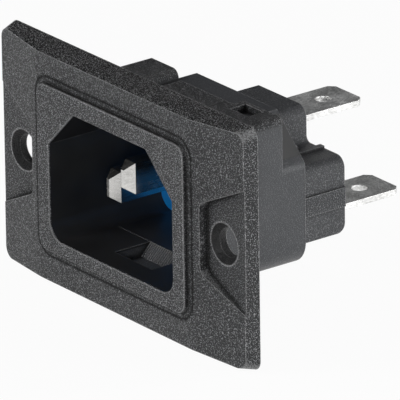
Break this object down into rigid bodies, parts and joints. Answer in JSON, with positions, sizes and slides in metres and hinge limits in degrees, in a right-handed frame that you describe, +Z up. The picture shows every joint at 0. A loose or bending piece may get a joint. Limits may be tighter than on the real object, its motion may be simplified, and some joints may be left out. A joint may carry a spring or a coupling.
{
  "type": "panel inlet socket",
  "caption": "Screw-fixed panel inlet socket: flange with a shrouded, chamfered cavity, flat pins inside and blade terminals behind.",
  "frame": {"origin": "midway between the two screw holes, on the rear face of the flange, which is the face that meets the panel", "axes": "+X to the right when the socket is faced, along the line of the two screw holes; +Y into the panel, towards the blade terminals, so the pins are seen looking along +Y; +Z up, towards the earth pin"},
  "size_m": [0.049, 0.0367, 0.031],
  "materials": {
    "black_plastic": "finely textured moulded thermoplastic, satin on the shroud's sides",
    "blue_plastic": "smooth moulded",
    "pin_plating": "bright nickel plate",
    "tab_plating": "dull tin plate"
  },
  "bodies": {
    "root": {"housing": "black_plastic", "pin_insulator": "blue_plastic", "left_pin": "pin_plating", "right_pin": "pin_plating", "earth_pin": "pin_plating", "left_tab": "tab_plating", "right_tab": "tab_plating", "earth_tab": "tab_plating"}
  },
  "joints": []
}
